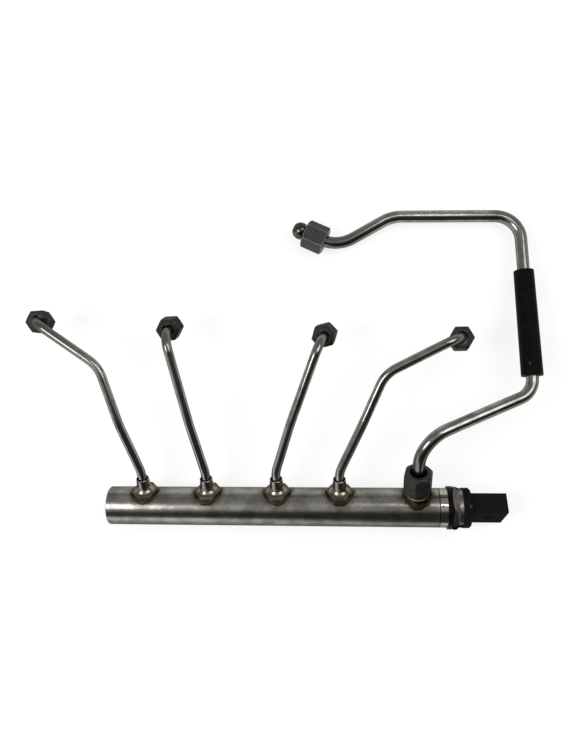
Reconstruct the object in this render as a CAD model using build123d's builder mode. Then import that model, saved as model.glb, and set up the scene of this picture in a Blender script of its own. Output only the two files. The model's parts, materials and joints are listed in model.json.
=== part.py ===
from build123d import *
import math
import os

os.makedirs("parts", exist_ok=True)

# A high-pressure fuel rail for a four-cylinder engine, with its lines and its pressure sensor.
# The rail's axis is X, from the closed end at the origin towards the sensor. The lines run
# towards +Y, and +Z points up from the bench that the rail lies on.

# Rail tube
rail_length = 224.0
rail_r = 13.0
rail_bore_r = 9.0
rail_edge = 0.4
end_plug_depth = 1.2
end_plug_length = 8.0
braze_gap = 0.05

# Ports on the rail: places along it, and their slope above the bench
port_place_shares = [0.116, 0.311, 0.522, 0.709]
port_slope = 30.0
feed_place_share = 0.936
feed_slope = 36.0

# Injector lines
line_r = 3.0
line_bore_r = 1.5
line_reach = 130.0
line_rise = 40.0
line_port_run = 29.0
line_port_bend_r = 22.0
line_knee_r = 60.0
line_corner_r = 22.0
line_crown_r = 12.0

# Ferrules that hold the injector lines
ferrule_across_flats = 16.0
ferrule_turns = [9.0, 2.0, 0.0, 0.0]
ferrule_flange_top = 14.5
ferrule_length = 24.0
ferrule_neck_r = 4.6
ferrule_neck_taper = 0.4
ferrule_mouth = 0.8
ferrule_mouth_depth = 1.5
ferrule_seat = 14.0

# Injector nuts, M12 x 1.5
nut_across_flats = 14.0
nut_length = 15.0
nut_hole_r = 4.2
nut_web = 3.5
nut_thread_r = 5.25
nut_relief_r = 5.7
thread_mouth = 0.75
nut_drop = 13.0
nut_play = 0.3
line_head_r = 4.95
line_head_length = 4.6

# Feed port, feed pipe and its nuts, M14 x 1.5
feed_boss_r = 9.4
feed_shoulder = 14.7
feed_ring_r = 8.4
feed_ring_thickness = 0.8
feed_nut_gap = 0.2
feed_nut_across_flats = 17.0
feed_nut_length = 17.0
feed_nut_web = 4.5
feed_nut_turn = 15.0
feed_nut_chamfer = 45.0
feed_hole_play = 0.4
feed_recess_r = 5.8
feed_recess_depth = 2.5
feed_stud_length = 9.0
feed_stud_r = 6.45
thread_play = 0.05
feed_passage_r = 2.0
feed_r = 4.0
feed_bore_r = 2.5
feed_head_r = 6.1
feed_run = 58.8
feed_reach = 196.0
feed_fall = 8.0
feed_port_bend_r = 22.0
feed_knee_r = 14.0
feed_sleeve_bend_r = 17.0
feed_top_bend_r = 26.0
pump_bend_r = 24.0
pump_nut_across_flats = 17.0
pump_nut_length = 15.5
pump_nut_web = 4.5
pump_nut_turn = 30.0
pump_nut_thread_r = 6.2
pump_hole_play = 0.3
ball_r = 5.85
ball_stand_out = 8.4
bench_drop = 14.6

# Rubber sleeve on the feed pipe
sleeve_length = 70.0
sleeve_start = 10.9
sleeve_r = 7.0
sleeve_taper = 0.5
sleeve_play = 0.1

# Pressure sensor at the right end
adapter_ring = 5.3
adapter_spigot = 10.0
sensor_stem_r = 5.6
sensor_stem_length = 14.5
sensor_passage_r = 1.5
seal_r = 14.2
seal_thickness = 2.9
sensor_across_flats = 27.0
sensor_hex_length = 4.3
sensor_hex_turn = -5.0
sensor_hex_chamfers = [20.0, 50.0]
collar_r = 12.9
collar_length = 2.5
disc_r = 13.2
disc_length = 5.5
disc_chamfer = 1.2
housing_spigot_r = 9.0
housing_spigot = 4.0
socket_width = 17.0
socket_height = 14.0
socket_turn = 54.5
socket_length = 23.1
socket_slant = 3.0
socket_wall = 1.6
socket_depth = 16.0
socket_corner_r = 1.0
pin_count = 3
pin_width = 1.2
pin_thickness = 0.7
pin_length = 10.0
pin_pitch = 3.6

overrun = 2.0
corner_clear = 0.3


# A point of a table of shares, as a place in the rail's frame
def place(shares, reach, rise):
    return Vector(shares[0] * rail_length, shares[1] * reach, shares[2] * rise)


# The direction of a port square to the rail, at its slope above the bench
def port_axis(slope):
    angle = math.radians(slope)
    return Vector(0, math.cos(angle), math.sin(angle))


# The plane through an axis: its X is a radius and its Y runs along the axis
def section(origin, axis):
    side = axis.cross(Vector(0, 0, 1))
    if side.length < math.sin(math.radians(1)):
        side = axis.cross(Vector(0, 1, 0))
    radius = side.normalized()
    return Plane(origin=origin, x_dir=radius, z_dir=radius.cross(axis))


# A solid of revolution from an outline of (radius, distance along the axis) points
def turned(origin, axis, outline, mode=Mode.ADD):
    with BuildSketch(section(origin, axis)) as half:
        with BuildLine():
            Polyline(*outline, close=True)
        make_face()
    revolve(half.sketch, axis=Axis(origin, axis), mode=mode)


# A round solid or bore between two distances along an axis
def round_bar(origin, axis, radius, start, end, mode=Mode.ADD):
    turned(origin, axis, [(0, start), (radius, start), (radius, end), (0, end)], mode)


# A hexagon bar with turned chamfers at both ends, its first corner towards x_dir
def hexagon(origin, axis, x_dir, across_flats, length, chamfer_share=0.95, slopes=(30.0, 30.0)):
    face_r = chamfer_share * across_flats / 2
    wide_r = across_flats / math.sqrt(3) + corner_clear
    near, far = [(wide_r - face_r) * math.tan(math.radians(slope)) for slope in slopes]
    with BuildSketch(Plane(origin=origin, x_dir=x_dir, z_dir=axis)) as six_sides:
        RegularPolygon(across_flats / 2, 6, major_radius=False)
    extrude(six_sides.sketch, amount=length)
    envelope = [(0, 0), (face_r, 0), (wide_r, near), (wide_r, length - far),
                (face_r, length), (0, length)]
    turned(origin, axis, envelope, Mode.INTERSECT)


# A tube along straight runs joined by tangent arcs
def tube(points, radii, radius, mode=Mode.ADD):
    with BuildLine() as route:
        FilletPolyline(*points, radius=radii)
    path = route.line
    with BuildSketch(Plane(origin=path @ 0, z_dir=path % 0)) as ring:
        Circle(radius)
    sweep(ring.sketch, path=path, mode=mode)


# The direction square to an axis that lies nearest to a given one, turned about the axis
def square_to(axis, towards, turn=0.0):
    flat = towards - axis * towards.dot(axis)
    return flat.normalized().rotate(Axis((0, 0, 0), axis), turn)


# Rail tube with a cross drilling at each port
rail_x = Vector(1, 0, 0)
rail_start = Vector(0, 0, 0)
injector_axis = port_axis(port_slope)
feed_axis = port_axis(feed_slope)
port_places = [Vector(share * rail_length, 0, 0) for share in port_place_shares]
feed_place = Vector(feed_place_share * rail_length, 0, 0)

with BuildPart() as rail_tube:
    outline = [(rail_bore_r, 0), (rail_r - rail_edge, 0), (rail_r, rail_edge),
               (rail_r, rail_length), (rail_bore_r, rail_length)]
    turned(rail_start, rail_x, outline)
    for port in port_places:
        round_bar(port, injector_axis, line_bore_r, 0, rail_r + overrun, Mode.SUBTRACT)
    round_bar(feed_place, feed_axis, feed_passage_r, 0, rail_r + overrun, Mode.SUBTRACT)
rail_tube.part.label = "rail_tube"
export_step(rail_tube.part, "parts/rail_tube.step")

# Plug brazed into the closed end
with BuildPart() as rail_end_plug:
    round_bar(rail_start, rail_x, rail_bore_r - braze_gap, end_plug_depth,
              end_plug_depth + end_plug_length)
rail_end_plug.part.label = "rail_end_plug"
export_step(rail_end_plug.part, "parts/rail_end_plug.step")

# Injector lines: knee, optional corner and crown of each, and the lean of its nut.
# Each place is in shares of the rail's length, the lines' reach and their rise.
line_shares = [
    [(0.065, 0.450, 0.65), (0.018, 0.742, 0.85), (-0.1705, 0.977, 1.0)],
    [(0.276, 0.448, 0.65), (0.2195, 0.897, 1.0)],
    [(0.572, 0.446, 0.65), (0.665, 0.859, 1.0)],
    [(0.779, 0.445, 0.65), (0.842, 0.689, 0.85), (1.053, 0.868, 1.0)],
]
nut_lean_shares = [(-0.13, 0.0), (-0.04, 0.23), (0.085, 0.175), (0.06, -0.08)]
nut_turns = [26.0, 28.0, 17.0, 30.0]

for number, port in enumerate(port_places):
    # Ferrule: a hexagonal flange on the rail, a flare and a tapered neck round the line
    with BuildPart() as port_ferrule:
        flange_corner = square_to(injector_axis, rail_x, ferrule_turns[number])
        hexagon(port, injector_axis, flange_corner, ferrule_across_flats, ferrule_flange_top)
        flare_r = 0.95 * ferrule_across_flats / 2
        flare = flare_r - ferrule_neck_r
        climb = ferrule_length - ferrule_flange_top
        neck_top_r = ferrule_neck_r - ferrule_neck_taper
        outline = [
            (0, 0),
            (flare_r, 0),
            (flare_r, ferrule_flange_top),
            (ferrule_neck_r + 0.60 * flare, ferrule_flange_top + 0.08 * climb),
            (ferrule_neck_r + 0.25 * flare, ferrule_flange_top + 0.22 * climb),
            (ferrule_neck_r, ferrule_flange_top + 0.38 * climb),
            (neck_top_r, ferrule_flange_top + 0.97 * climb),
            (neck_top_r - 0.03 * climb, ferrule_length),
            (0, ferrule_length),
        ]
        turned(port, injector_axis, outline)
        round_bar(rail_start, rail_x, rail_r + braze_gap, -rail_r, rail_length, Mode.SUBTRACT)
        round_bar(port, injector_axis, line_bore_r, 0, ferrule_length, Mode.SUBTRACT)
        bore_r = line_r + braze_gap
        mouth = [
            (0, ferrule_seat),
            (bore_r, ferrule_seat),
            (bore_r, ferrule_length - ferrule_mouth_depth),
            (bore_r + ferrule_mouth, ferrule_length),
            (bore_r + ferrule_mouth, ferrule_length + overrun),
            (0, ferrule_length + overrun),
        ]
        turned(port, injector_axis, mouth, Mode.SUBTRACT)
    port_ferrule.part.label = f"port_ferrule_{number + 1}"
    export_step(port_ferrule.part, f"parts/port_ferrule_{number + 1}.step")

    # Line: out of the port, over its knee and corner, and down from its crown into the nut
    lean = nut_lean_shares[number]
    nut_axis = Vector(lean[0], lean[1], -1).normalized()
    bends = [place(shares, line_reach, line_rise) for shares in line_shares[number]]
    crown = bends[-1]
    nut_origin = crown + nut_axis * nut_drop
    head_start = nut_web + nut_play
    head_origin = nut_origin + nut_axis * head_start
    start = port + injector_axis * (ferrule_seat + braze_gap)
    first = port + injector_axis * line_port_run
    points = [start, first, *bends, head_origin + nut_axis * line_head_length / 2]
    radii = [line_port_bend_r, line_knee_r]
    if len(bends) > 2:
        radii.append(line_corner_r)
    radii.append(line_crown_r)
    with BuildPart() as injector_line:
        tube(points, radii, line_r)
        outline = [
            (0, 0),
            (line_head_r, 0),
            (line_head_r, 0.28 * line_head_length),
            (0.88 * line_head_r, 0.42 * line_head_length),
            (0.50 * line_head_r, line_head_length),
            (0, line_head_length),
        ]
        turned(head_origin, nut_axis, outline)
        inner_start = port + injector_axis * (ferrule_seat - overrun)
        inner_end = head_origin + nut_axis * (line_head_length + overrun)
        tube([inner_start, first, *bends, inner_end], radii, line_bore_r, Mode.SUBTRACT)
    injector_line.part.label = f"injector_line_{number + 1}"
    export_step(injector_line.part, f"parts/injector_line_{number + 1}.step")

    # Union nut, hanging on the line's head by its web, with a relief round the head
    with BuildPart() as injector_nut:
        first_corner = square_to(nut_axis, Vector(0, 1, 0), nut_turns[number])
        hexagon(nut_origin, nut_axis, first_corner, nut_across_flats, nut_length)
        mouth_r = nut_thread_r + thread_mouth
        thread_start = head_start + line_head_length + nut_play
        outline = [
            (0, -overrun),
            (nut_hole_r, -overrun),
            (nut_hole_r, nut_web),
            (nut_relief_r, nut_web),
            (nut_relief_r, thread_start),
            (nut_thread_r, thread_start),
            (nut_thread_r, nut_length - thread_mouth),
            (mouth_r, nut_length),
            (mouth_r, nut_length + overrun),
            (0, nut_length + overrun),
        ]
        turned(nut_origin, nut_axis, outline, Mode.SUBTRACT)
    injector_nut.part.label = f"injector_nut_{number + 1}"
    export_step(injector_nut.part, f"parts/injector_nut_{number + 1}.step")
    print("injector nut", number + 1, "origin", nut_origin, "axis", nut_axis)

# Feed port: a saddle boss with a threaded stud and a coned seat
stud_top = feed_shoulder + feed_ring_thickness + feed_nut_gap + feed_stud_length
cone_length = feed_head_r / 2
cone_tip_r = feed_head_r / 2
cone_wide_r = 0.9 * feed_head_r
feed_head_tip = stud_top - cone_length / 2
with BuildPart() as feed_port:
    outline = [
        (0, 0),
        (feed_boss_r, 0),
        (feed_boss_r, rail_r),
        (feed_ring_r, feed_shoulder),
        (feed_stud_r, feed_shoulder),
        (feed_stud_r, stud_top),
        (0, stud_top),
    ]
    turned(feed_place, feed_axis, outline)
    round_bar(rail_start, rail_x, rail_r + braze_gap, -rail_r, rail_length + rail_r, Mode.SUBTRACT)
    round_bar(feed_place, feed_axis, feed_passage_r, 0, stud_top, Mode.SUBTRACT)
    seat = [
        (0, feed_head_tip - thread_play),
        (cone_tip_r + thread_play, feed_head_tip - thread_play),
        (cone_wide_r + thread_play, feed_head_tip + cone_length - thread_play),
        (0, feed_head_tip + cone_length - thread_play),
    ]
    turned(feed_place, feed_axis, seat, Mode.SUBTRACT)
feed_port.part.label = "feed_port"
export_step(feed_port.part, "parts/feed_port.step")

# Ring of bronze braze on the feed port's shoulder
with BuildPart() as feed_braze_ring:
    round_bar(feed_place, feed_axis, feed_ring_r, feed_shoulder, feed_shoulder + feed_ring_thickness)
    round_bar(feed_place, feed_axis, feed_stud_r + thread_play, 0, stud_top, Mode.SUBTRACT)
feed_braze_ring.part.label = "feed_braze_ring"
export_step(feed_braze_ring.part, "parts/feed_braze_ring.step")

# Feed nut, tightened on the stud: its rear face is the end away from the rail
feed_nut_start = feed_shoulder + feed_ring_thickness + feed_nut_gap
feed_nut_end = feed_nut_start + feed_nut_length
feed_hole_r = feed_r + feed_hole_play
with BuildPart() as feed_nut:
    hexagon(feed_place + feed_axis * feed_nut_start, feed_axis,
            square_to(feed_axis, rail_x, feed_nut_turn), feed_nut_across_flats, feed_nut_length,
            0.92, (30.0, feed_nut_chamfer))
    outline = [
        (0, 0),
        (feed_stud_r + thread_play, 0),
        (feed_stud_r + thread_play, feed_nut_end - feed_nut_web),
        (feed_hole_r, feed_nut_end - feed_nut_web),
        (feed_hole_r, feed_nut_end - feed_recess_depth),
        (feed_recess_r, feed_nut_end),
        (feed_recess_r, feed_nut_end + overrun),
        (0, feed_nut_end + overrun),
    ]
    turned(feed_place, feed_axis, outline, Mode.SUBTRACT)
feed_nut.part.label = "feed_nut"
export_step(feed_nut.part, "parts/feed_nut.step")

# Feed pipe: up from the feed nut, along to the sleeve, back across and down to the pump nut.
# Each bend is in shares of the rail's length, the pipe's reach and its fall below the axis.
feed_bend_shares = [(1.268, 0.390, -1.25), (1.251, 0.990, 1.0), (0.8735, 1.001, 0.90)]
pump_bend_shares = (0.7094, 0.900)
pump_nut_shares = (0.6420, 0.936)
pump_axis_z = pump_nut_across_flats / 2 - bench_drop
pump_bend = Vector(pump_bend_shares[0] * rail_length, pump_bend_shares[1] * feed_reach, pump_axis_z)
pump_centre = Vector(pump_nut_shares[0] * rail_length, pump_nut_shares[1] * feed_reach, pump_axis_z)
pump_axis = (pump_centre - pump_bend).normalized()
pump_nut_origin = pump_centre - pump_axis * pump_nut_length / 2
ball_tip = pump_nut_length + ball_stand_out
ball_centre = ball_tip - 0.88 * ball_r
feed_first = feed_place + feed_axis * feed_run
feed_bends = [place(shares, feed_reach, -feed_fall) for shares in feed_bend_shares]
feed_points = [feed_first, *feed_bends, pump_bend]
feed_radii = [feed_port_bend_r, feed_knee_r, feed_sleeve_bend_r, feed_top_bend_r, pump_bend_r]
feed_head_base = feed_nut_end - feed_nut_web - thread_play

with BuildPart() as feed_pipe:
    tube([feed_place + feed_axis * (feed_head_tip + cone_length), *feed_points,
          pump_nut_origin + pump_axis * ball_centre], feed_radii, feed_r)
    outline = [
        (0, feed_head_tip),
        (cone_tip_r, feed_head_tip),
        (cone_wide_r, feed_head_tip + cone_length),
        (feed_head_r, feed_head_tip + cone_length),
        (feed_head_r, feed_head_base),
        (0, feed_head_base),
    ]
    turned(feed_place, feed_axis, outline)
    with BuildSketch(section(pump_nut_origin + pump_axis * ball_centre, pump_axis)):
        Circle(ball_r)
        with Locations((0, ball_tip - ball_centre + ball_r)):
            Rectangle(2 * ball_r, 2 * ball_r, mode=Mode.SUBTRACT)
        with Locations((-ball_r, 0)):
            Rectangle(2 * ball_r, 4 * ball_r, mode=Mode.SUBTRACT)
    revolve(axis=Axis(pump_nut_origin, pump_axis))
    round_bar(pump_nut_origin, pump_axis, 0.9 * ball_r, ball_centre - 1.35 * ball_r,
              ball_centre - 0.6 * ball_r)
    tube([feed_place + feed_axis * (feed_head_tip - overrun), *feed_points,
          pump_nut_origin + pump_axis * (ball_tip + overrun)], feed_radii, feed_bore_r, Mode.SUBTRACT)
feed_pipe.part.label = "feed_pipe"
export_step(feed_pipe.part, "parts/feed_pipe.step")

# Pump nut, slid back along the pipe so that the ball head stands out
pump_hole_r = feed_r + pump_hole_play
with BuildPart() as pump_nut:
    first_corner = square_to(pump_axis, Vector(0, 0, 1), pump_nut_turn)
    hexagon(pump_nut_origin, pump_axis, first_corner, pump_nut_across_flats, pump_nut_length)
    mouth_r = pump_nut_thread_r + thread_mouth
    outline = [
        (0, -overrun),
        (pump_hole_r, -overrun),
        (pump_hole_r, pump_nut_web),
        (pump_nut_thread_r, pump_nut_web),
        (pump_nut_thread_r, pump_nut_length - thread_mouth),
        (mouth_r, pump_nut_length),
        (mouth_r, pump_nut_length + overrun),
        (0, pump_nut_length + overrun),
    ]
    turned(pump_nut_origin, pump_axis, outline, Mode.SUBTRACT)
pump_nut.part.label = "pump_nut"
export_step(pump_nut.part, "parts/pump_nut.step")
print("pump nut origin", pump_nut_origin, "axis", pump_axis)

# Rubber sleeve on the straight run between the second and the third bend
sleeve_axis = (feed_bends[1] - feed_bends[0]).normalized()
with BuildPart() as feed_sleeve:
    sleeve_end = sleeve_start + sleeve_length
    outline = [
        (feed_r + sleeve_play, sleeve_start),
        (sleeve_r, sleeve_start),
        (sleeve_r - sleeve_taper, sleeve_end),
        (feed_r + sleeve_play, sleeve_end),
    ]
    turned(feed_bends[0], sleeve_axis, outline)
feed_sleeve.part.label = "feed_sleeve"
export_step(feed_sleeve.part, "parts/feed_sleeve.step")

# Adapter ring with a spigot in the rail's bore and a thread for the sensor
adapter_face = rail_length + adapter_ring
hex_start = adapter_face + seal_thickness
hex_end = hex_start + sensor_hex_length
collar_end = hex_end + collar_length
disc_end = collar_end + disc_length
stem_start = adapter_face - sensor_stem_length
with BuildPart() as sensor_adapter:
    outline = [
        (0, rail_length - adapter_spigot),
        (rail_bore_r - braze_gap, rail_length - adapter_spigot),
        (rail_bore_r - braze_gap, rail_length),
        (rail_r, rail_length),
        (rail_r, adapter_face),
        (0, adapter_face),
    ]
    turned(rail_start, rail_x, outline)
    round_bar(rail_start, rail_x, sensor_stem_r + thread_play, 0, adapter_face + overrun, Mode.SUBTRACT)
sensor_adapter.part.label = "sensor_adapter"
export_step(sensor_adapter.part, "parts/sensor_adapter.step")

# Seal ring between the adapter and the sensor's hexagon
with BuildPart() as sensor_seal_ring:
    round_bar(rail_start, rail_x, seal_r, adapter_face, hex_start)
    round_bar(rail_start, rail_x, sensor_stem_r + thread_play, 0, hex_end, Mode.SUBTRACT)
sensor_seal_ring.part.label = "sensor_seal_ring"
export_step(sensor_seal_ring.part, "parts/sensor_seal_ring.step")

# Sensor body: stem, hexagon with one corner up, and collar
with BuildPart() as sensor_body:
    hexagon(Vector(hex_start, 0, 0), rail_x, square_to(rail_x, Vector(0, 0, 1), sensor_hex_turn),
            sensor_across_flats, sensor_hex_length, 0.98, sensor_hex_chamfers)
    outline = [
        (0, stem_start),
        (sensor_stem_r / 2, stem_start),
        (sensor_stem_r, stem_start + sensor_stem_r / 2),
        (sensor_stem_r, hex_start),
        (collar_r, hex_start),
        (collar_r, collar_end),
        (0, collar_end),
    ]
    turned(rail_start, rail_x, outline)
    pocket_floor = collar_end - housing_spigot
    round_bar(rail_start, rail_x, housing_spigot_r + braze_gap, pocket_floor,
              collar_end + overrun, Mode.SUBTRACT)
    round_bar(rail_start, rail_x, sensor_passage_r, 0, hex_start, Mode.SUBTRACT)
sensor_body.part.label = "sensor_body"
export_step(sensor_body.part, "parts/sensor_body.step")

# Sensor housing: disc, spigot in the collar, and a turned plug socket with a slanted mouth
socket_end = disc_end + socket_length
socket_floor = socket_end - socket_depth
socket_side = square_to(rail_x, Vector(0, 1, 0), socket_turn)
with BuildPart() as sensor_housing:
    outline = [
        (0, pocket_floor + braze_gap),
        (housing_spigot_r, pocket_floor + braze_gap),
        (housing_spigot_r, collar_end),
        (disc_r, collar_end),
        (disc_r, disc_end - disc_chamfer),
        (disc_r - disc_chamfer, disc_end),
        (0, disc_end),
    ]
    turned(rail_start, rail_x, outline)
    with BuildSketch(Plane.YZ.offset(disc_end)):
        RectangleRounded(socket_width, socket_height, socket_corner_r, rotation=socket_turn)
    extrude(amount=socket_length)
    with BuildSketch(Plane.YZ.offset(socket_floor)):
        RectangleRounded(socket_width - 2 * socket_wall, socket_height - 2 * socket_wall,
                         socket_corner_r / 2, rotation=socket_turn)
    extrude(amount=socket_depth + overrun, mode=Mode.SUBTRACT)
    with BuildSketch(Plane(origin=(socket_end, 0, 0), x_dir=rail_x, z_dir=rail_x.cross(socket_side))):
        with BuildLine():
            Polyline((0, socket_width / 2), (overrun, socket_width / 2), (overrun, -socket_width),
                     (-1.5 * socket_slant, -socket_width), close=True)
        make_face()
    extrude(amount=socket_height, both=True, mode=Mode.SUBTRACT)
sensor_housing.part.label = "sensor_housing"
export_step(sensor_housing.part, "parts/sensor_housing.step")

# Three contact pins on the floor of the socket, in a row along its wider side
for number in range(pin_count):
    with BuildPart() as sensor_pin:
        with BuildSketch(Plane(origin=(socket_floor, 0, 0), x_dir=socket_side, z_dir=rail_x)):
            with Locations(((number - (pin_count - 1) / 2) * pin_pitch, 0)):
                Rectangle(pin_width, pin_thickness)
        extrude(amount=pin_length)
    sensor_pin.part.label = f"sensor_pin_{number + 1}"
    export_step(sensor_pin.part, f"parts/sensor_pin_{number + 1}.step")
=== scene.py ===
import json
import math
import bpy
from mathutils import Matrix, Vector


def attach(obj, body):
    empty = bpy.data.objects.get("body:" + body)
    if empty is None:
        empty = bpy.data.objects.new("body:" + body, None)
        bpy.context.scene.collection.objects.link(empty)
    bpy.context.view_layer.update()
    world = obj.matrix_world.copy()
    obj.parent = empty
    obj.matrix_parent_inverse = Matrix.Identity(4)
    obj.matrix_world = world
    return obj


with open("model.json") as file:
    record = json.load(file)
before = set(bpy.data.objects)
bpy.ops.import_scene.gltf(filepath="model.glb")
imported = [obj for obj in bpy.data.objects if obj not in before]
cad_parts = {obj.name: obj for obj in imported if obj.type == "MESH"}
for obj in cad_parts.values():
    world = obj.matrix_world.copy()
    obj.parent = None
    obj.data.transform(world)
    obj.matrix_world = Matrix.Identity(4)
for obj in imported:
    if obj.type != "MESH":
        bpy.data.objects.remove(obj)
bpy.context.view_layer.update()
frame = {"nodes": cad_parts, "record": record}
record = frame["record"]
print("frame loaded:", len(frame["nodes"]), "nodes")

# Camera, from the photograph
cameraView = {
    "place": (0.16933, 0.0924, 0.47364),
    "right": (0.99509, -0.01121, -0.09834),
    "up": (0.01116, 0.99994, -0.0011),
    "back": (0.09834, 0.0, 0.99515),
    "focalPixels": 700.0,
    "longSidePixels": 741,
    "sensorWidth": 36.0,
    "nearest": 0.01,
}


def addCamera(view):
    bpy.ops.object.camera_add()
    camera = bpy.context.object
    camera.name = "photoCamera"
    camera.data.sensor_width = view["sensorWidth"]
    camera.data.lens = view["focalPixels"] / view["longSidePixels"] * camera.data.sensor_width
    camera.data.clip_start = view["nearest"]
    turn = Matrix((view["right"], view["up"], view["back"])).transposed().to_4x4()
    camera.matrix_world = Matrix.Translation(view["place"]) @ turn
    bpy.context.scene.camera = camera


addCamera(cameraView)
bpy.context.scene.view_settings.view_transform = "Standard"


class Sock:                                   # a shader socket that takes Python's operators
    def __init__(self, finish, socket):
        self.finish = finish
        self.socket = socket

    def maths(self, operation, *values):
        return self.finish.add("ShaderNodeMath", {"operation": operation}, dict(enumerate(values)))

    def __add__(self, other): return self.maths("ADD", self, other)
    def __radd__(self, other): return self.maths("ADD", other, self)
    def __sub__(self, other): return self.maths("SUBTRACT", self, other)
    def __rsub__(self, other): return self.maths("SUBTRACT", other, self)
    def __mul__(self, other): return self.maths("MULTIPLY", self, other)
    def __pow__(self, other): return self.maths("POWER", self, other)
    def __abs__(self): return self.maths("ABSOLUTE", self)
    def least(self, other): return self.maths("MINIMUM", self, other)
    def most(self, other): return self.maths("MAXIMUM", self, other)
    def sine(self): return self.maths("SINE", self)
    def angle(self, other): return self.maths("ARCTAN2", self, other)

    def step(self, low, high):                # 0 at low, 1 at high, smooth between
        sockets = {0: self, 1: low, 2: high, 3: 0.0, 4: 1.0}
        return self.finish.add("ShaderNodeMapRange", {"interpolation_type": "SMOOTHSTEP"}, sockets)

    def fade(self, low, high):                # 1 at low, 0 at high
        return 1.0 - self.step(low, high)


class Finish:                                 # one material and its nodes
    def __init__(self, name):
        self.material = bpy.data.materials.new(name)
        self.material.use_nodes = True
        self.tree = self.material.node_tree
        self.tree.nodes.clear()

    def add(self, kind, settings=None, sockets=None, out=0):
        node = self.tree.nodes.new(kind)
        for key, value in (settings or {}).items():
            setattr(node, key, value)
        for key, value in (sockets or {}).items():
            if isinstance(value, Sock):
                self.tree.links.new(value.socket, node.inputs[key])
            elif isinstance(value, tuple) and len(node.inputs[key].default_value) == 4:
                node.inputs[key].default_value = (*value, 1.0)
            else:
                node.inputs[key].default_value = value
        return Sock(self, node.outputs[out]) if len(node.outputs) else None

    def outputs(self, kind, keys, sockets=None):
        node = self.add(kind, None, sockets).socket.node
        return tuple(Sock(self, node.outputs[key]) for key in keys)

    def place(self, turn=(0.0, 0.0, 0.0), centre=(0.0, 0.0, 0.0)):   # millimetres, from a centre
        coords = self.add("ShaderNodeTexCoord", out="Object")
        sockets = {"Vector": coords, "Location": centre, "Rotation": turn, "Scale": (0.001,) * 3}
        return self.add("ShaderNodeMapping", {"vector_type": "TEXTURE"}, sockets)

    def axes(self, vector):
        return self.outputs("ShaderNodeSeparateXYZ", (0, 1, 2), {0: vector})

    def join(self, x, y, z=0.0):
        return self.add("ShaderNodeCombineXYZ", None, {0: x, 1: y, 2: z})

    def stretch(self, vector, scale):
        x, y, z = self.axes(vector)
        return self.join(x * scale[0], y * scale[1], z * scale[2])

    def between(self, operation, vector, other):
        return self.add("ShaderNodeVectorMath", {"operation": operation}, {0: vector, 1: other}, "Value")

    def along(self, vector, direction):
        return self.between("DOT_PRODUCT", vector, direction)

    def distance(self, vector, point):
        return self.between("DISTANCE", vector, point)

    def noise(self, vector, scale=1.0, detail=3.0, rough=0.55):
        sockets = {"Vector": vector, "Scale": scale, "Detail": detail, "Roughness": rough}
        return self.add("ShaderNodeTexNoise", None, sockets)

    def pits(self, vector, scale):            # distance to scattered points
        return self.add("ShaderNodeTexVoronoi", None, {"Vector": vector, "Scale": scale})

    def edges(self, radius, low, high):       # 1 on the edges of a piece, where its finish wears first
        rounded = self.add("ShaderNodeBevel", {"samples": 6}, {"Radius": radius})
        flat = self.add("ShaderNodeNewGeometry", out="True Normal")
        return (1.0 - self.along(rounded, flat)).step(low, high)

    def facing(self, direction, low, high):   # 1 where the surface faces a direction
        normal = self.add("ShaderNodeNewGeometry", out="Normal")
        return self.along(normal, direction).step(low, high)

    def blend(self, mask, first, second):     # first where the mask is 0, second where it is 1
        return self.add("ShaderNodeMix", {"data_type": "RGBA"}, {0: mask, 6: first, 7: second}, 2)

    def bump(self, height, distance, strength=1.0):
        sockets = {"Height": height, "Distance": distance, "Strength": strength}
        return self.add("ShaderNodeBump", None, sockets)

    def shade(self, **values):
        names = {"colour": "Base Color", "rough": "Roughness", "metal": "Metallic", "normal": "Normal",
                 "level": "Specular IOR Level", "edgeTint": "Specular Tint"}
        sockets = {names[key]: value for key, value in values.items()}
        shader = self.add("ShaderNodeBsdfPrincipled", None, sockets)
        self.add("ShaderNodeOutputMaterial", None, {0: shader})
        return self.material


def dress(names, material):
    for name in names:
        node = frame["nodes"][name]
        node.data.materials.clear()
        node.data.materials.append(material)


# Floor, world and lamps
stageLook = {
    "floorPlace": (0.13, 0.08, -0.0157),
    "floorSize": 6.0,
    "floorPaint": 0.80,                       # what lights the part from below
    "floorShown": 0.30,                       # what the camera sees, with the glow
    "floorGlow": 0.78,
    "horizon": (0.52, 0.515, 0.51),
    "sky": (0.46, 0.45, 0.435),
    "skyStart": (0.0, 0.35),
    "zenith": (0.64, 0.635, 0.63),
    "zenithStart": (0.80, 0.99),
    "shade": (0.050, 0.050, 0.049),           # the dark side of the room
    "shadeWay": (0.50, -0.87),
    "shadeEdge": (0.05, 0.36),
    "shadeFront": 0.1,
    "shadeFrontEdge": (0.0, 0.2),
    "shadeStart": (0.0, 0.12),
    "lowGlow": (1.6, 1.6, 1.65),              # a bright place low on the left
    "lowGlowWay": (-0.66, -0.75),
    "lowGlowEdge": (0.70, 0.88),
    "lowGlowTop": (0.22, 0.50),
    "lamps": [
        {"name": "leftSoftbox", "place": (-0.368, 0.037, 0.755), "aim": (0.12, 0.08, 0.0),
         "size": 0.42, "power": 2.9},
        {"name": "rightSoftbox", "place": (0.667, 0.301, 0.68), "aim": (0.12, 0.08, 0.0),
         "size": 0.55, "power": 2.2},
        {"name": "highSoftbox", "place": (0.335, 0.40, 0.86), "aim": (0.20, 0.0, 0.0),
         "size": 0.16, "power": 0.36},
    ],
}


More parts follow.
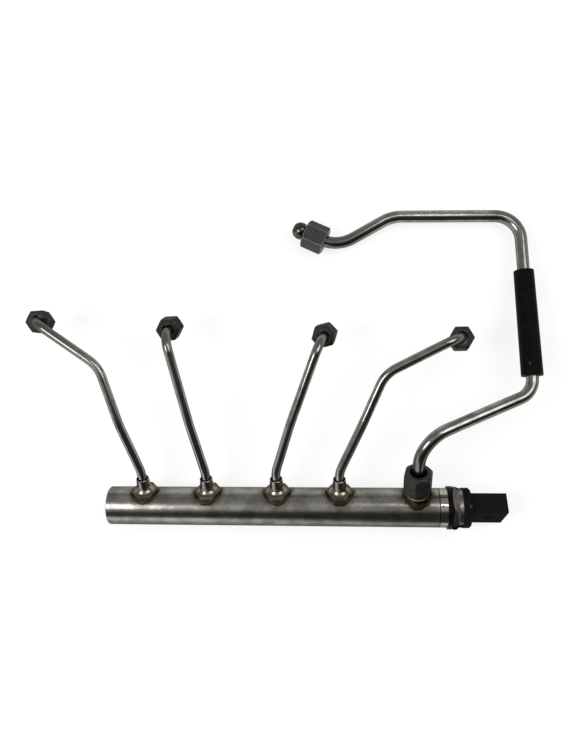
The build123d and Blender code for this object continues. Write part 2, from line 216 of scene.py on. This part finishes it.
def addFloor(look):
    bpy.ops.mesh.primitive_plane_add(size=look["floorSize"], location=look["floorPlace"])
    floor = bpy.context.object
    floor.name = "floor"
    bpy.ops.object.transform_apply(location=True, rotation=True, scale=True)
    finish = Finish("paleFloor")
    rays = finish.outputs("ShaderNodeLightPath", ("Is Camera Ray", "Is Glossy Ray", "Is Transmission Ray"))
    seen = (rays[0] + rays[1] + rays[2]).least(1.0)
    paint = finish.add("ShaderNodeBsdfDiffuse", None, {"Color": (look["floorPaint"],) * 3})
    shown = finish.add("ShaderNodeBsdfDiffuse", None, {"Color": (look["floorShown"],) * 3})
    white = {"Color": (1.0, 1.0, 1.0), "Strength": look["floorGlow"]}
    glow = finish.add("ShaderNodeEmission", None, white)
    bright = finish.add("ShaderNodeAddShader", None, {0: shown, 1: glow})
    both = finish.add("ShaderNodeMixShader", None, {0: seen, 1: paint, 2: bright})
    finish.add("ShaderNodeOutputMaterial", None, {0: both})
    floor.data.materials.append(finish.material)


class Studio(Finish):                         # the world's nodes, with the same helpers
    def __init__(self, name):
        world = bpy.data.worlds.new(name)
        world.use_nodes = True
        bpy.context.scene.world = world
        self.tree = world.node_tree
        self.tree.nodes.clear()


def towards(x, y, way):
    return x * way[0] + y * way[1]


def addWorld(look):
    studio = Studio("studio")
    x, y, z = studio.axes(studio.add("ShaderNodeTexCoord", out="Generated"))
    sky = studio.blend(z.step(*look["skyStart"]), look["horizon"], look["sky"])
    sky = studio.blend(z.step(*look["zenithStart"]), sky, look["zenith"])
    side = towards(x, y, look["shadeWay"]).step(*look["shadeEdge"])
    front = (look["shadeFront"] - y).step(*look["shadeFrontEdge"])
    sky = studio.blend(side * front * z.step(*look["shadeStart"]), sky, look["shade"])
    lowLeft = towards(x, y, look["lowGlowWay"]).step(*look["lowGlowEdge"])
    sky = studio.blend(lowLeft * z.fade(*look["lowGlowTop"]), sky, look["lowGlow"])
    back = studio.add("ShaderNodeBackground", None, {"Color": sky})
    studio.add("ShaderNodeOutputWorld", None, {0: back})


def addLamp(lamp):
    bpy.ops.object.light_add(type="AREA", location=lamp["place"])
    light = bpy.context.object
    light.name = lamp["name"]
    light.data.shape = "DISK"
    light.data.size = lamp["size"]
    light.data.energy = lamp["power"]
    away = Vector(lamp["place"]) - Vector(lamp["aim"])
    light.rotation_mode = "QUATERNION"
    light.rotation_quaternion = away.to_track_quat("Z", "Y")


addFloor(stageLook)
addWorld(stageLook)
for lamp in stageLook["lamps"]:
    addLamp(lamp)
print("stage and lamps placed")

# Places that the finishes and the new pieces share, in millimetres and degrees
portLook = {
    "places": (25.984, 69.664, 116.928, 158.816),
    "slope": 30.0,
    "feedPlace": 209.664,
    "feedSlope": 36.0,
    "feedNutEnd": 32.7,
    "railRadius": 13.0,
    "frontDepth": 3.0,                        # from here on towards the port the rail faces it
    "farReach": 60.0,                         # what the rail's other side counts as further away
}


def portAxis(slope):
    return (0.0, math.cos(math.radians(slope)), math.sin(math.radians(slope)))


def fromPort(finish, point, places, slope):   # distance from the axis of the nearest port
    x, y, z = finish.axes(point)
    nearest = abs(x - places[0])
    for place in places[1:]:
        nearest = nearest.least(abs(x - place))
    axis = portAxis(slope)
    across = finish.along(point, (0.0, -axis[2], axis[1]))
    behind = finish.along(point, axis).fade(0.0, portLook["frontDepth"])
    return (nearest * nearest + across * across) ** 0.5 + behind * portLook["farReach"]


# Rail tube, its plug and the adapter: drawn steel, burnt by the brazing round each port, with painted
# shade on the low side facing −Y
railLook = {
    "steel": (0.290, 0.282, 0.264),
    "dull": (0.170, 0.164, 0.148),
    "burnt": (0.024, 0.018, 0.013),
    "bronze": (0.085, 0.060, 0.038),
    "clean": (0.36, 0.35, 0.325),
    "turned": (0.40, 0.385, 0.355),
    # painted shade: the colour that darkens the rail's low side facing −Y
    "paintedShade": (0.030, 0.028, 0.025),
    "edge": (0.45, 0.44, 0.42),
    "brushScale": (0.05, 2.4),
    "scratchScale": (0.02, 4.0),
    "burntReach": (11.4, 13.0),
    "tintReach": (12.6, 15.5),
    "raggedReach": 5.0,
    "feedWider": 0.4,
    "paintedShadeWay": (0.0, -0.070, -0.050),
    "paintedShadeEdge": (0.15, 0.60),
    "paintedShadeStart": (10.0, 60.0),
    "seam": 224.0,
    "seamBlur": 0.1,
    "seamWidth": (0.18, 0.50),
    "punch": (226.0, 3.2, 12.6),
    "punchWidth": (0.45, 0.85),
    "relief": 0.000014,
}


def railSteel(look):
    finish = Finish("railSteel")
    point = finish.place()
    x, y, z = finish.axes(point)
    around = y.angle(z) * portLook["railRadius"]
    length, girth = look["brushScale"]
    brushed = finish.noise(finish.join(x * length, around * girth), 1.0, 4.0, 0.65)
    length, girth = look["scratchScale"]
    scratched = finish.noise(finish.join(x * length, around * girth), 1.0, 2.0).step(0.60, 0.72)
    blotches = finish.noise(point, 0.085, 4.0, 0.6)
    ragged = finish.noise(point, 0.35, 3.0, 0.6)
    ports = fromPort(finish, point, portLook["places"], portLook["slope"])
    feed = fromPort(finish, point, (portLook["feedPlace"],), portLook["feedSlope"])
    reach = ports.least(feed - look["feedWider"]) + ragged * look["raggedReach"]
    burnt = reach.fade(*look["burntReach"])
    tint = reach.fade(*look["tintReach"])
    adapter = x.step(look["seam"] - look["seamBlur"], look["seam"] + look["seamBlur"])
    # painted shade: the low side facing −Y is darkened from a ragged start near the left end, and made
    # rougher and less metallic
    paintedShade = finish.along(point, look["paintedShadeWay"]).step(*look["paintedShadeEdge"])
    paintedShade = paintedShade * (x + blotches * 30.0).step(*look["paintedShadeStart"])
    seam = abs(x - look["seam"]).fade(*look["seamWidth"])
    marks = seam.most(finish.distance(point, look["punch"]).fade(*look["punchWidth"]))
    colour = finish.blend(blotches.step(0.35, 0.65), look["steel"], look["dull"])
    colour = finish.blend(scratched * 0.45, colour, look["clean"])
    colour = finish.blend(tint * 0.5, colour, look["bronze"])
    colour = finish.blend(adapter * 0.75, colour, look["turned"])
    colour = finish.blend(burnt * 0.9, colour, look["burnt"])
    colour = finish.blend(paintedShade * 0.85, colour, look["paintedShade"])
    colour = finish.blend(marks * 0.95, colour, look["burnt"])
    rough = 0.19 + (brushed - 0.5) * 0.20 + blotches * 0.10 + burnt * 0.20 - adapter * 0.12 + paintedShade * 0.22
    height = brushed * 0.5 + scratched * 0.4 + ragged * burnt * 2.0 - marks * 1.5
    return finish.shade(colour=colour, rough=rough, metal=1.0 - burnt * 0.5 - paintedShade * 0.5,
                        edgeTint=look["edge"], normal=finish.bump(height, look["relief"]))


dress(["rail_tube", "rail_end_plug", "sensor_adapter"], railSteel(railLook))


# Injector lines and feed pipe: bright drawn tube with handling marks, with painted shade that makes the
# underside dull and dark
pipeLook = {
    "steel": (0.315, 0.305, 0.285),
    "dull": (0.215, 0.207, 0.190),
    "brown": (0.095, 0.075, 0.055),
    "clean": (0.50, 0.48, 0.44),
    # painted shade: the colour of the pipes' undersides
    "paintedShade": (0.020, 0.019, 0.017),
    "edge": (0.40, 0.39, 0.37),
    "black": (0.070, 0.066, 0.058),
    # painted highlight: the colour of bright flecks that stand in for glints on the ball head
    "glint": (0.36, 0.33, 0.28),
    # darker tone near the nuts and the sleeve, and painted shade inside the injector nuts
    "darkened": (0.115, 0.110, 0.098),
    "drawnScale": (0.10, 0.8, 0.8),
    "markScale": (0.35, 0.8, 0.8),
    "glintScale": 0.55,
    "underEdge": (-0.10, 0.30),
    "relief": 0.000005,
}
lineLook = dict(pipeLook, edge=(0.24, 0.235, 0.22), drawnScale=(1.2, 0.10, 1.2))

# Where the marks are, in millimetres
lineMarks = {
    "darkStart": (94.0, 120.0),
    "endStart": (103.0, 106.0),
    "endTop": (25.6, 26.8),
}
feedMarks = {
    "stripe": (195.7, 197.9, -4.1),
    "stripeSlope": 0.026,
    "stripeSpread": (0.6, 3.0),
    "stripeStart": (196.0, 204.0),
    "stripeEnd": (256.0, 268.0),
    "nutDarkEnd": (30.0, 60.0),
    "sleeveDarkStart": (258.0, 266.0),
    "pumpNut": (150.8, 180.2, -6.1),
    "pumpDarkReach": (15.0, 45.0),
    "headAxis": (-0.905943, 0.4234, 0.0),
    "headStart": (-48.2, -47.6),
}


def noMark(finish, point):                    # for a pipe without that kind of mark
    return 0.0


def topScratches(finish, point):              # a rubbed stripe along the far run of the feed pipe
    x, y, z = finish.axes(point)
    startX, startY, height = feedMarks["stripe"]
    across = y - startY + (x - startX) * feedMarks["stripeSlope"]
    fromStripe = across ** 2.0 + (z - height) ** 2.0
    ends = x.step(*feedMarks["stripeStart"]) * x.fade(*feedMarks["stripeEnd"])
    return fromStripe.fade(*feedMarks["stripeSpread"]) * ends


def nutEnds(finish, point):                   # the bends over the injector nuts are darker, and painted shade darkens the pipe inside the nuts
    x, y, z = finish.axes(point)
    # painted shade: the pipe inside the nut is darkened
    inside = z.fade(*lineMarks["endTop"]) * y.step(*lineMarks["endStart"])
    return (y.step(*lineMarks["darkStart"]) * 0.75).most(inside)


def feedDarkening(finish, point):                  # darker over the feed nut, by the sleeve and at the pump nut
    x, y, z = finish.axes(point)
    overNut = y.fade(*feedMarks["nutDarkEnd"]) * 0.8
    byPump = finish.distance(point, feedMarks["pumpNut"]).fade(*feedMarks["pumpDarkReach"]) * 0.65
    return overNut.most(byPump).most(x.step(*feedMarks["sleeveDarkStart"]) * 0.35)


def ballHead(finish, point):                  # the head that stands out of the pump nut
    return finish.along(point, feedMarks["headAxis"]).step(*feedMarks["headStart"])


def pipeSteel(name, look, scratchPlace, darkPlace, headPlace):
    finish = Finish(name)
    point = finish.place()
    drawn = finish.noise(finish.stretch(point, look["drawnScale"]), 1.0, 4.0, 0.7)
    blotches = finish.noise(point, 0.12, 4.0, 0.6)
    specks = finish.noise(point, 1.3, 3.0, 0.7).step(0.60, 0.70)
    marks = finish.noise(finish.stretch(point, look["markScale"]), 1.0, 4.0, 0.8).step(0.44, 0.56)
    marks = marks * scratchPlace(finish, point)
    # painted highlight: bright flecks on the dark ball head stand in for glints
    glints = finish.pits(point, look["glintScale"]).step(0.15, 0.42)
    # painted shade: the undersides are darkened, and made rougher and less metallic
    under = 1.0 - finish.facing((0.0, 0.0, 1.0), *look["underEdge"])
    colour = finish.blend(blotches.step(0.38, 0.66), look["steel"], look["dull"])
    colour = finish.blend(specks * 0.20, colour, look["brown"])
    colour = finish.blend(marks, colour, look["clean"])
    # darker near the nuts and the sleeve, with painted shade inside the injector nuts
    colour = finish.blend(darkPlace(finish, point), colour, look["darkened"])
    glintedHead = finish.blend(glints, look["glint"], look["black"])
    colour = finish.blend(headPlace(finish, point), colour, glintedHead)
    colour = finish.blend(under * 0.9, colour, look["paintedShade"])
    rough = 0.11 + blotches * 0.10 + (drawn - 0.5) * 0.06 + marks * 0.14 + under * 0.15
    height = drawn * 0.4 + marks * 1.5 - specks * 0.4
    return finish.shade(colour=colour, rough=rough, metal=1.0 - specks * 0.15 - under * 0.75, level=0.1,
                        edgeTint=look["edge"], normal=finish.bump(height, look["relief"]))


dress([f"injector_line_{i}" for i in range(1, 5)],
      pipeSteel("lineSteel", lineLook, noMark, nutEnds, noMark))
dress(["feed_pipe"], pipeSteel("feedSteel", pipeLook, topScratches, feedDarkening, ballHead))


# Ferrules and feed port: nickelled, matte on the flange and burnt where they meet the rail
ferruleLook = {
    "nickel": (0.27, 0.25, 0.21),
    "flange": (0.15, 0.14, 0.115),
    "burnt": (0.024, 0.017, 0.011),
    "bronze": (0.13, 0.105, 0.070),
    "edge": (0.30, 0.28, 0.24),
    "flangeRadius": 7.4,
    "flangeBlur": 1.5,
    "grooveShadeWidth": (0.10, 0.30),
    "burntHeight": (-0.9, 0.4),
    "raggedHeight": 3.2,
    "relief": 0.00012,
}
bossLook = dict(ferruleLook, nickel=(0.050, 0.036, 0.020), flange=(0.036, 0.026, 0.015),
                bronze=(0.075, 0.050, 0.024), flangeRadius=9.9)


def ferruleNickel(name, look, places, slope):
    finish = Finish(name)
    point = finish.place()
    x, y, z = finish.axes(point)
    reach = fromPort(finish, point, places, slope)
    height = (y * y + z * z) ** 0.5 - portLook["railRadius"]
    ragged = finish.noise(point, 0.5, 4.0, 0.65)
    fine = finish.noise(point, 2.2, 3.0, 0.6)
    radius = look["flangeRadius"]
    flange = (reach + (ragged - 0.5) * 0.8).step(radius - look["flangeBlur"], radius)
    # painted shade: a dark line round the rim of the flange, as in a groove
    grooveShade = abs(reach - radius).fade(*look["grooveShadeWidth"])
    burnt = (height - ragged * look["raggedHeight"]).fade(*look["burntHeight"])
    colour = finish.blend(ragged.step(0.3, 0.75) * 0.5, look["nickel"], look["bronze"])
    colour = finish.blend(flange, colour, look["flange"])
    colour = finish.blend(grooveShade * 0.6, colour, look["burnt"])
    colour = finish.blend(burnt * 0.92, colour, look["burnt"])
    rough = 0.10 + fine * 0.10 + flange * 0.10 + burnt * 0.12
    bumps = ragged * 1.2 + fine * 0.4
    return finish.shade(colour=colour, rough=rough, metal=1.0 - burnt * 0.4, edgeTint=look["edge"],
                        normal=finish.bump(bumps, look["relief"], 0.7))


dress([f"port_ferrule_{i}" for i in range(1, 5)],
      ferruleNickel("ferruleNickel", ferruleLook, portLook["places"], portLook["slope"]))
dress(["feed_port"],
      ferruleNickel("feedBossNickel", bossLook, (portLook["feedPlace"],), portLook["feedSlope"]))


# Union nuts: dark phosphate, worn bright on the corners, with a thread cut inside
nutLook = {
    "phosphate": (0.0110, 0.0110, 0.0108),
    "lighter": (0.0260, 0.0255, 0.0245),
    "worn": (0.20, 0.19, 0.17),
    "stain": (0.036, 0.028, 0.021),
    "thread": (0.10, 0.096, 0.09),
    "edge": (0.17, 0.17, 0.17),
    "shadedSide": (0.33, -0.92, 0.22),
    "shadedSideEdge": (0.35, 0.65),
    "shadedLow": (0.15, 0.55),
    "wear": 0.55,
    "wornEdge": {"radius": 0.0007, "low": 0.012, "high": 0.10},
    "threadRadius": 5.25,
    "threadEdge": (0.10, 0.45),
    "threadStart": 8.7,
    "threadRise": 0.3,
    "pitch": 1.5,
    "stainRadius": (6.0, 8.0),
    "stainLength": 2.0,
    "relief": 0.00035,
}
pumpNutLook = dict(nutLook, phosphate=(0.0230, 0.0228, 0.0220), lighter=(0.0420, 0.0415, 0.0400),
                   worn=(0.40, 0.39, 0.37), edge=(0.32, 0.32, 0.32), shadedSide=(0.423, 0.906, 0.0),
                   shadedLow=(-0.4, 0.0), wear=1.5, threadRadius=6.2, threadStart=4.5)
feedNutLook = dict(nutLook, wear=0.7, threadRadius=0.0, threadStart=30.0)   # its thread is hidden


def nutPhosphate(name, look, origin, axis):
    finish = Finish(name)
    turn = Vector(axis).to_track_quat("Z", "Y").to_euler()
    local = finish.place(tuple(turn), tuple(origin))
    x, y, depth = finish.axes(local)
    radius = (x * x + y * y) ** 0.5
    cloudy = finish.noise(local, 0.45, 4.0, 0.6)
    grain = finish.noise(local, 6.0, 3.0, 0.6)
    ragged = finish.noise(local, 1.4, 4.0, 0.7)
    corners = finish.edges(**look["wornEdge"]) * ragged.step(0.34, 0.60) * look["wear"]
    inside = (radius - look["threadRadius"]).fade(*look["threadEdge"])
    inside = inside * (depth - look["threadStart"]).step(0.0, look["threadRise"])
    ridges = (depth * (2.0 * math.pi / look["pitch"])).sine() * inside
    stain = (radius + cloudy * 3.0).fade(*look["stainRadius"]) * depth.fade(0.0, look["stainLength"])
    low = 1.0 - finish.facing((0.0, 0.0, 1.0), *look["shadedLow"])
    side = finish.facing(look["shadedSide"], *look["shadedSideEdge"])
    shaded = (low * 0.85).most(side * 0.6)
    colour = finish.blend(cloudy.step(0.35, 0.7), look["phosphate"], look["lighter"])
    colour = finish.blend(stain * 0.7, colour, look["stain"])
    colour = finish.blend(corners, colour, look["worn"])
    colour = finish.blend(inside, colour, look["thread"])
    rough = 0.40 + (grain - 0.5) * 0.20 - corners * 0.10 - inside * 0.08
    metal = (corners * 0.8 + inside * 0.6).most(shaded)
    height = grain * 0.05 + ragged * 0.05 + ridges
    return finish.shade(colour=colour, rough=rough, metal=metal, level=1.0, edgeTint=look["edge"],
                        normal=finish.bump(height, look["relief"]))


nutJoints = {joint["child"]: joint for joint in record["behaviour"]["joints"]}
for i in range(1, 5):
    joint = nutJoints[f"injector_nut_{i}_body"]
    dress([f"injector_nut_{i}"], nutPhosphate(f"nutPhosphate{i}", nutLook, joint["pos_m"], joint["axis"]))
pumpJoint = nutJoints["pump_nut_body"]
dress(["pump_nut"],
      nutPhosphate("pumpNutPhosphate", pumpNutLook, pumpJoint["pos_m"], pumpJoint["axis"]))
feedAxis = Vector(portAxis(portLook["feedSlope"]))
feedNutEnd = Vector((portLook["feedPlace"] / 1000, 0.0, 0.0)) + feedAxis * (portLook["feedNutEnd"] / 1000)
dress(["feed_nut"], nutPhosphate("feedNutPhosphate", feedNutLook, feedNutEnd, -feedAxis))


# Rubber: the sleeve on the feed pipe, with a pale speck, and the sensor's seal ring
rubberLook = {
    "black": (0.0020, 0.0020, 0.0023),
    "dusty": (0.0100, 0.0100, 0.0096),
    "pale": (0.09, 0.088, 0.085),
    "speck": (281.3, 95.2, 13.3),
    "speckWidth": (0.5, 1.0),
    "sleeveRough": 0.55,
    "sealRough": 0.45,
    "relief": 0.00005,
}


def rubber(name, look, rough):
    finish = Finish(name)
    point = finish.place()
    cloudy = finish.noise(point, 0.25, 4.0, 0.65)
    grain = finish.noise(point, 4.0, 3.0, 0.6)
    speck = finish.distance(point, look["speck"]).fade(*look["speckWidth"])
    colour = finish.blend(cloudy.step(0.42, 0.75) * 0.6, look["black"], look["dusty"])
    colour = finish.blend(speck * 0.8, colour, look["pale"])
    return finish.shade(colour=colour, rough=rough + (cloudy - 0.5) * 0.2, level=0.05,
                        normal=finish.bump(grain + cloudy * 2.0, look["relief"]))


dress(["feed_sleeve"], rubber("sleeveRubber", rubberLook, rubberLook["sleeveRough"]))
dress(["sensor_seal_ring"], rubber("sealRubber", rubberLook, rubberLook["sealRough"]))


# Sensor: turned and plated body with painted shade on its low side facing −Y, black moulded housing with a
# spot of paint
sensorLook = {
    "plate": (0.225, 0.214, 0.194),
    "stain": (0.11, 0.100, 0.082),
    # painted shade: the colour of the body's low side facing −Y
    "paintedShade": (0.011, 0.010, 0.009),
    "edge": (0.05, 0.048, 0.045),
    "paintedShadeWay": (0.0, -0.070, -0.040),
    "paintedShadeEdge": (0.0, 0.55),
    "turnedScale": 6.0,
    "relief": 0.00003,
}
housingLook = {
    "black": (0.0098, 0.0098, 0.0106),
    "scuffed": (0.016, 0.016, 0.0165),
    "edge": (0.12, 0.12, 0.12),
    "spot": (0.018, 0.11, 0.105),
    "spotPlace": (243.6, 3.3, 12.4),
    "spotWidth": (0.9, 1.3),
    "scuffedEdge": {"radius": 0.0005, "low": 0.02, "high": 0.12},
    "lowEdge": (0.62, 0.78),
    "relief": 0.00004,
}


def sensorPlate(look):
    finish = Finish("sensorPlate")
    point = finish.place()
    x, y, z = finish.axes(point)
    radius = (y * y + z * z) ** 0.5
    turned = finish.noise(finish.join(x * look["turnedScale"], radius * look["turnedScale"]), 1.0, 2.0)
    cloudy = finish.noise(point, 0.4, 4.0, 0.6)
    ragged = finish.noise(point, 1.6, 4.0, 0.7)
    # painted shade: the body's low side facing −Y is darkened
    paintedShade = finish.along(point, look["paintedShadeWay"]).step(*look["paintedShadeEdge"])
    colour = finish.blend(cloudy.step(0.45, 0.7) * 0.7, look["plate"], look["stain"])
    colour = finish.blend(ragged.step(0.62, 0.70) * 0.5, colour, look["stain"])
    colour = finish.blend(paintedShade * 0.97, colour, look["paintedShade"])
    return finish.shade(colour=colour, rough=0.18 + turned * 0.12 + cloudy * 0.12, metal=1.0,
                        edgeTint=look["edge"], normal=finish.bump(turned * 0.6 + ragged, look["relief"]))


def sensorPlastic(look):
    finish = Finish("sensorPlastic")
    point = finish.place()
    cloudy = finish.noise(point, 0.3, 4.0, 0.6)
    grain = finish.noise(point, 5.0, 2.0)
    edges = finish.edges(**look["scuffedEdge"]) * cloudy.step(0.40, 0.65)
    spot = finish.distance(point, look["spotPlace"]).fade(*look["spotWidth"])
    low = 1.0 - finish.facing((0.0, 0.0, 1.0), *look["lowEdge"])
    colour = finish.blend(cloudy.step(0.45, 0.8) * 0.4, look["black"], look["scuffed"])
    colour = finish.blend(edges * 0.5, colour, look["scuffed"])
    colour = finish.blend(spot * 0.9, colour, look["spot"])
    return finish.shade(colour=colour, rough=0.44 + (grain - 0.5) * 0.2, metal=low * 0.5, level=0.025,
                        edgeTint=look["edge"], normal=finish.bump(grain, look["relief"]))


plasticFinish = sensorPlastic(housingLook)
dress(["sensor_body"], sensorPlate(sensorLook))
dress(["sensor_housing"], plasticFinish)


# Tinned contact pins
pinLook = {"tin": (0.62, 0.61, 0.58), "dull": (0.42, 0.41, 0.38)}


def pinTin(look):
    finish = Finish("pinTin")
    cloudy = finish.noise(finish.place(), 1.2)
    colour = finish.blend(cloudy, look["tin"], look["dull"])
    return finish.shade(colour=colour, rough=0.24 + cloudy * 0.2, metal=1.0)


dress([f"sensor_pin_{i}" for i in range(1, 4)], pinTin(pinLook))
print("finishes of the CAD nodes done")


def change(piece, kind, **settings):          # one modifier, set and applied
    modifier = piece.modifiers.new(kind.lower(), kind)
    for key, value in settings.items():
        setattr(modifier, key, value)
    bpy.ops.object.modifier_apply(modifier=modifier.name)


def moveVertices(piece, chosen, offset):      # those that chosen says yes to
    bpy.context.tool_settings.mesh_select_mode = (True, False, False)
    for part in [*piece.data.edges, *piece.data.polygons]:
        part.select = False
    for vertex in piece.data.vertices:
        vertex.select = chosen(vertex)
    bpy.ops.object.mode_set(mode="EDIT")
    bpy.ops.transform.translate(value=offset)
    bpy.ops.object.mode_set(mode="OBJECT")


# Braze: bronze fillets where the ferrules and the feed port meet the rail
brazeLook = {
    "bronze": (0.034, 0.024, 0.013),
    "bright": (0.12, 0.092, 0.055),
    "flux": (0.020, 0.014, 0.010),
    "fluxShare": 0.9,
    "relief": 0.0002,
    "start": 30.0,                            # from the rail's axis, before it is laid onto the rail
    "segments": 80,
    "hiddenRadius": 7.5,
    "rings": (8.7, 9.2, 9.8),
    "rises": (0.75, 0.60, 0.22, -0.05),
    "spread": 1.5,
    "lumpSize": 4.0,
    "thickness": 0.5,
}
feedBrazeLook = dict(brazeLook, bronze=(0.052, 0.031, 0.015), fluxShare=0.5, hiddenRadius=8.9,
                     rings=(9.5, 9.7, 10.0))
ringBrazeLook = dict(brazeLook, bronze=(0.40, 0.33, 0.20), fluxShare=0.25)


def brazeBronze(name, look):
    finish = Finish(name)
    point = finish.place()
    cloudy = finish.noise(point, 0.5, 4.0, 0.65)
    fine = finish.noise(point, 2.0, 4.0, 0.6)
    colour = finish.blend(cloudy.step(0.35, 0.65) * look["fluxShare"], look["bronze"], look["flux"])
    colour = finish.blend(fine.step(0.60, 0.75) * 0.5, colour, look["bright"])
    return finish.shade(colour=colour, rough=0.22 + cloudy * 0.3, metal=0.9,
                        normal=finish.bump(cloudy + fine * 0.4, look["relief"], 0.6))


def addBraze(name, place, slope, look, material):
    bpy.ops.object.select_all(action="DESELECT")
    axis = Vector(portAxis(slope))
    start = Vector((place / 1000, 0.0, 0.0)) + axis * (look["start"] / 1000)
    inner = look["hiddenRadius"]
    bpy.ops.mesh.primitive_circle_add(vertices=look["segments"], radius=inner / 1000, location=start,
                                      rotation=(-math.radians(90.0 - slope), 0.0, 0.0))
    braze = bpy.context.object
    braze.name = name
    bpy.ops.object.mode_set(mode="EDIT")
    for radius in look["rings"]:
        bpy.ops.mesh.extrude_region()
        bpy.ops.transform.resize(value=(radius / inner,) * 3, center_override=start)
        inner = radius
    bpy.ops.object.mode_set(mode="OBJECT")
    for direction in ("X", "Y"):              # an uneven edge
        texture = bpy.data.textures.new("brazeLumps" + direction, "CLOUDS")
        texture.noise_scale = look["lumpSize"] / 1000
        change(braze, "DISPLACE", texture=texture, texture_coords="GLOBAL", direction=direction,
               strength=look["spread"] / 1000)
    change(braze, "SHRINKWRAP", wrap_method="PROJECT", use_project_z=True, use_negative_direction=True,
           use_positive_direction=False, target=frame["nodes"]["rail_tube"])
    for ring, rise in enumerate(look["rises"]):
        moveVertices(braze, lambda vertex: vertex.index // look["segments"] == ring, axis * rise / 1000)
    bpy.ops.object.transform_apply(location=True, rotation=True, scale=True)
    change(braze, "SOLIDIFY", thickness=look["thickness"] / 1000, offset=0.0)
    change(braze, "SUBSURF", levels=1, render_levels=1)
    bpy.ops.object.mode_set(mode="EDIT")
    bpy.ops.mesh.select_all(action="SELECT")
    bpy.ops.mesh.normals_make_consistent(inside=False)
    bpy.ops.object.mode_set(mode="OBJECT")
    bpy.ops.object.shade_smooth()
    braze.data.materials.append(material)
    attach(braze, "rail")


ferruleBraze = brazeBronze("ferruleBraze", brazeLook)
feedBraze = brazeBronze("feedBraze", feedBrazeLook)
ringBraze = brazeBronze("ringBraze", ringBrazeLook)
for i, place in enumerate(portLook["places"], 1):
    addBraze(f"port_braze_{i}", place, portLook["slope"], brazeLook, ferruleBraze)
addBraze("feed_braze", portLook["feedPlace"], portLook["feedSlope"], feedBrazeLook, feedBraze)
dress(["feed_braze_ring"], ringBraze)
print("braze fillets done")

# Latch of the plug socket: a low ramp on its lower visible face
latchLook = {
    "place": (256.2, -1.6),                   # along the sensor and across the face
    "length": 4.0,
    "width": 3.4,
    "height": 0.7,
    "fall": 0.85,                             # share of the height
    "round": 0.25,
    "roundSegments": 3,
    "smoothAngle": 35.0,
    "faceHeight": 7.0,
    "socketTurn": 54.5,
}


def addLatch(look):
    bpy.ops.object.select_all(action="DESELECT")
    turn = math.radians(look["socketTurn"])
    side = Vector((0.0, math.cos(turn), math.sin(turn)))
    out = Vector((0.0, -math.sin(turn), math.cos(turn)))
    along, across = look["place"]
    centre = Vector((along / 1000, 0.0, 0.0)) + (side * across + out * look["faceHeight"]) / 1000
    bpy.ops.mesh.primitive_cube_add(size=1.0, location=centre, rotation=(turn, 0.0, 0.0))
    latch = bpy.context.object
    latch.name = "socket_latch"
    latch.scale = (look["length"] / 1000, look["width"] / 1000, 2.0 * look["height"] / 1000)
    bpy.ops.object.transform_apply(location=True, rotation=True, scale=True)

    def atMouth(vertex):                      # the ramp falls towards the socket's mouth
        return (vertex.co - centre).dot(out) > 0.0 and vertex.co.x > centre.x

    moveVertices(latch, atMouth, out * -look["fall"] * look["height"] / 1000)
    change(latch, "BEVEL", width=look["round"] / 1000, segments=look["roundSegments"])
    bpy.ops.object.shade_smooth_by_angle(angle=math.radians(look["smoothAngle"]))
    latch.data.materials.append(plasticFinish)
    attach(latch, "rail")


addLatch(latchLook)
print("socket latch done")
